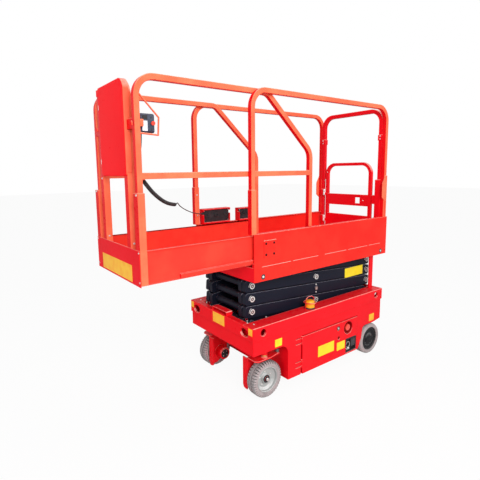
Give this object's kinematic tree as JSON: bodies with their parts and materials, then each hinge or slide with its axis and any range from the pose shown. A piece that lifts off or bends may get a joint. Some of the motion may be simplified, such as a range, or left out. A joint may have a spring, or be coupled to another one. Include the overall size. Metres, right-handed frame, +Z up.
{
  "type": "scissor lift",
  "caption": "Self-propelled mini scissor lift, lowered, with its roll-out deck extended: railed platform over a folded scissor stack on a wheeled chassis with steering, doors and beacon",
  "frame": {"origin": "on the floor, under the middle of the whole machine's length and width, roll-out deck extended", "axes": "+X forward to the steered wheels and the roll-out deck, +Y left (the side with the ground controls), +Z up"},
  "size_m": [2.175, 0.743, 1.993],
  "materials": {
    "red_paint": "gloss paint",
    "dark_paint": "satin paint",
    "tyre_rubber": "matt solid tyre",
    "hub_grey": "satin paint",
    "hub_black": "satin paint",
    "amber": "clear amber plastic",
    "steel": "bare steel",
    "chrome_rod": "polished",
    "black_plastic": "matt",
    "cord_black": "matt"
  },
  "bodies": {
    "chassis": {"chassis_rim": "red_paint", "chassis_sides": "red_paint", "chassis_ends": "red_paint", "chassis_deck": "red_paint", "chassis_trays": "red_paint", "power_blocks": "black_plastic", "roller_tracks": "dark_paint", "rear_lugs": "dark_paint", "axle_mounts": "red_paint", "rest_posts": "red_paint", "front_cover": "red_paint", "beacon": "amber", "beacon_guard": "steel"},
    "knuckle_left": {"knuckle_left": "red_paint"},
    "knuckle_right": {"knuckle_right": "red_paint"},
    "tie_rod": {"tie_rod": "steel"},
    "door_left": {"door_left": "red_paint", "door_controls": "black_plastic"},
    "door_right": {"door_right": "red_paint"},
    "lift_barrel": {"lift_barrel": "dark_paint"},
    "lift_rod": {"lift_rod": "chrome_rod"},
    "platform": {"platform_floor": "red_paint", "platform_sides": "red_paint", "platform_frame": "dark_paint", "main_rail_left": "red_paint", "main_rail_right": "red_paint", "rear_hoop": "red_paint", "side_boxes": "red_paint"},
    "extension": {"extension_deck": "red_paint", "extension_rail_left": "red_paint", "extension_rail_right": "red_paint", "front_hoop": "red_paint", "front_tray": "red_paint", "control_box": "black_plastic", "control_guard": "red_paint", "cord_top": "cord_black", "cord_coil": "cord_black", "cord_lead": "cord_black"},
    "gate": {"gate": "red_paint"},
    "wheel_front_left": {"tyre_front_left": "tyre_rubber", "hub_front_left": "hub_grey"},
    "wheel_front_right": {"tyre_front_right": "tyre_rubber", "hub_front_right": "hub_grey"},
    "wheel_rear_left": {"tyre_rear_left": "tyre_rubber", "hub_rear_left": "hub_black"},
    "wheel_rear_right": {"tyre_rear_right": "tyre_rubber", "hub_rear_right": "hub_black"},
    "outer_1": {"outer_arms_1": "dark_paint"},
    "inner_1": {"inner_arms_1": "dark_paint"},
    "outer_2": {"outer_arms_2": "dark_paint"},
    "inner_2": {"inner_arms_2": "dark_paint"},
    "outer_3": {"outer_arms_3": "dark_paint"},
    "inner_3": {"inner_arms_3": "dark_paint"},
    "outer_4": {"outer_arms_4": "dark_paint"},
    "inner_4": {"inner_arms_4": "dark_paint"}
  },
  "joints": [
    {"name": "lift", "type": "hinge", "parent": "chassis", "child": "outer_1", "pos_m": [-0.9735, 0, 0.491], "axis": [0, -1, 0], "range_deg": [0, 38]},
    {"name": "cross_1", "type": "hinge", "parent": "outer_1", "child": "inner_1", "pos_m": [-0.3485, 0, 0.535], "axis": [0, -1, 0], "range_deg": [-76, 0]},
    {"name": "rear_pin_1", "type": "hinge", "parent": "inner_1", "child": "outer_2", "pos_m": [-0.9735, 0, 0.579], "axis": [0, -1, 0], "range_deg": [0, 76]},
    {"name": "cross_2", "type": "hinge", "parent": "outer_2", "child": "inner_2", "pos_m": [-0.3485, 0, 0.623], "axis": [0, -1, 0], "range_deg": [-76, 0]},
    {"name": "rear_pin_2", "type": "hinge", "parent": "inner_2", "child": "outer_3", "pos_m": [-0.9735, 0, 0.667], "axis": [0, -1, 0], "range_deg": [0, 76]},
    {"name": "cross_3", "type": "hinge", "parent": "outer_3", "child": "inner_3", "pos_m": [-0.3485, 0, 0.711], "axis": [0, -1, 0], "range_deg": [-76, 0]},
    {"name": "rear_pin_3", "type": "hinge", "parent": "inner_3", "child": "outer_4", "pos_m": [-0.9735, 0, 0.755], "axis": [0, -1, 0], "range_deg": [0, 76]},
    {"name": "cross_4", "type": "hinge", "parent": "outer_4", "child": "inner_4", "pos_m": [-0.3485, 0, 0.799], "axis": [0, -1, 0], "range_deg": [-76, 0]},
    {"name": "platform_pin", "type": "hinge", "parent": "inner_4", "child": "platform", "pos_m": [-0.9735, 0, 0.843], "axis": [0, -1, 0], "range_deg": [0, 38]},
    {"name": "cylinder_foot", "type": "hinge", "parent": "chassis", "child": "lift_barrel", "pos_m": [-0.8985, 0, 0.511], "axis": [0, -1, 0], "range_deg": [0, 52.45]},
    {"name": "cylinder_stroke", "type": "slide", "parent": "lift_barrel", "child": "lift_rod", "axis": [0.9957, 0, 0.0921], "range_m": [0, 0.2369]},
    {"name": "steer_left", "type": "hinge", "parent": "chassis", "child": "knuckle_left", "pos_m": [0.2205, 0.2895, 0.27], "axis": [0, 0, 1], "range_deg": [-60, 60]},
    {"name": "steer_right", "type": "hinge", "parent": "chassis", "child": "knuckle_right", "pos_m": [0.2205, -0.2895, 0.27], "axis": [0, 0, 1], "range_deg": [-60, 60]},
    {"name": "tie_rod_pin", "type": "hinge", "parent": "knuckle_left", "child": "tie_rod", "pos_m": [0.1025, 0.2895, 0.287], "axis": [0, 0, 1], "range_deg": [-60, 60]},
    {"name": "spin_front_left", "type": "hinge", "parent": "knuckle_left", "child": "wheel_front_left", "pos_m": [0.2205, 0.2895, 0.125], "axis": [0, 1, 0], "continuous": true},
    {"name": "spin_front_right", "type": "hinge", "parent": "knuckle_right", "child": "wheel_front_right", "pos_m": [0.2205, -0.2895, 0.125], "axis": [0, 1, 0], "continuous": true},
    {"name": "spin_rear_left", "type": "hinge", "parent": "chassis", "child": "wheel_rear_left", "pos_m": [-0.8735, 0.3195, 0.125], "axis": [0, 1, 0], "continuous": true},
    {"name": "spin_rear_right", "type": "hinge", "parent": "chassis", "child": "wheel_rear_right", "pos_m": [-0.8735, -0.3195, 0.125], "axis": [0, 1, 0], "continuous": true},
    {"name": "door_hinge_left", "type": "hinge", "parent": "chassis", "child": "door_left", "pos_m": [-0.0605, 0.365, 0.225], "axis": [0, 0, -1], "range_deg": [0, 100]},
    {"name": "door_hinge_right", "type": "hinge", "parent": "chassis", "child": "door_right", "pos_m": [-0.0605, -0.365, 0.225], "axis": [0, 0, 1], "range_deg": [0, 100]},
    {"name": "extension_slide", "type": "slide", "parent": "platform", "child": "extension", "axis": [1, 0, 0], "range_m": [-0.6, 0]},
    {"name": "gate_hinge", "type": "hinge", "parent": "platform", "child": "gate", "pos_m": [-1.0145, -0.262, 1.17], "axis": [0, 0, -1], "range_deg": [0, 90]}
  ],
  "couplings": [
    {"joint": "cross_1", "follows": "lift", "ratio": -2},
    {"joint": "rear_pin_1", "follows": "lift", "ratio": 2},
    {"joint": "cross_2", "follows": "lift", "ratio": -2},
    {"joint": "rear_pin_2", "follows": "lift", "ratio": 2},
    {"joint": "cross_3", "follows": "lift", "ratio": -2},
    {"joint": "rear_pin_3", "follows": "lift", "ratio": 2},
    {"joint": "cross_4", "follows": "lift", "ratio": -2},
    {"joint": "platform_pin", "follows": "lift", "ratio": 1},
    {"joint": "cylinder_foot", "follows": "lift", "ratio": 1.38},
    {"joint": "cylinder_stroke", "follows": "lift", "m_per_rad": 0.357},
    {"joint": "steer_right", "follows": "steer_left", "ratio": 1},
    {"joint": "tie_rod_pin", "follows": "steer_left", "ratio": -1}
  ]
}
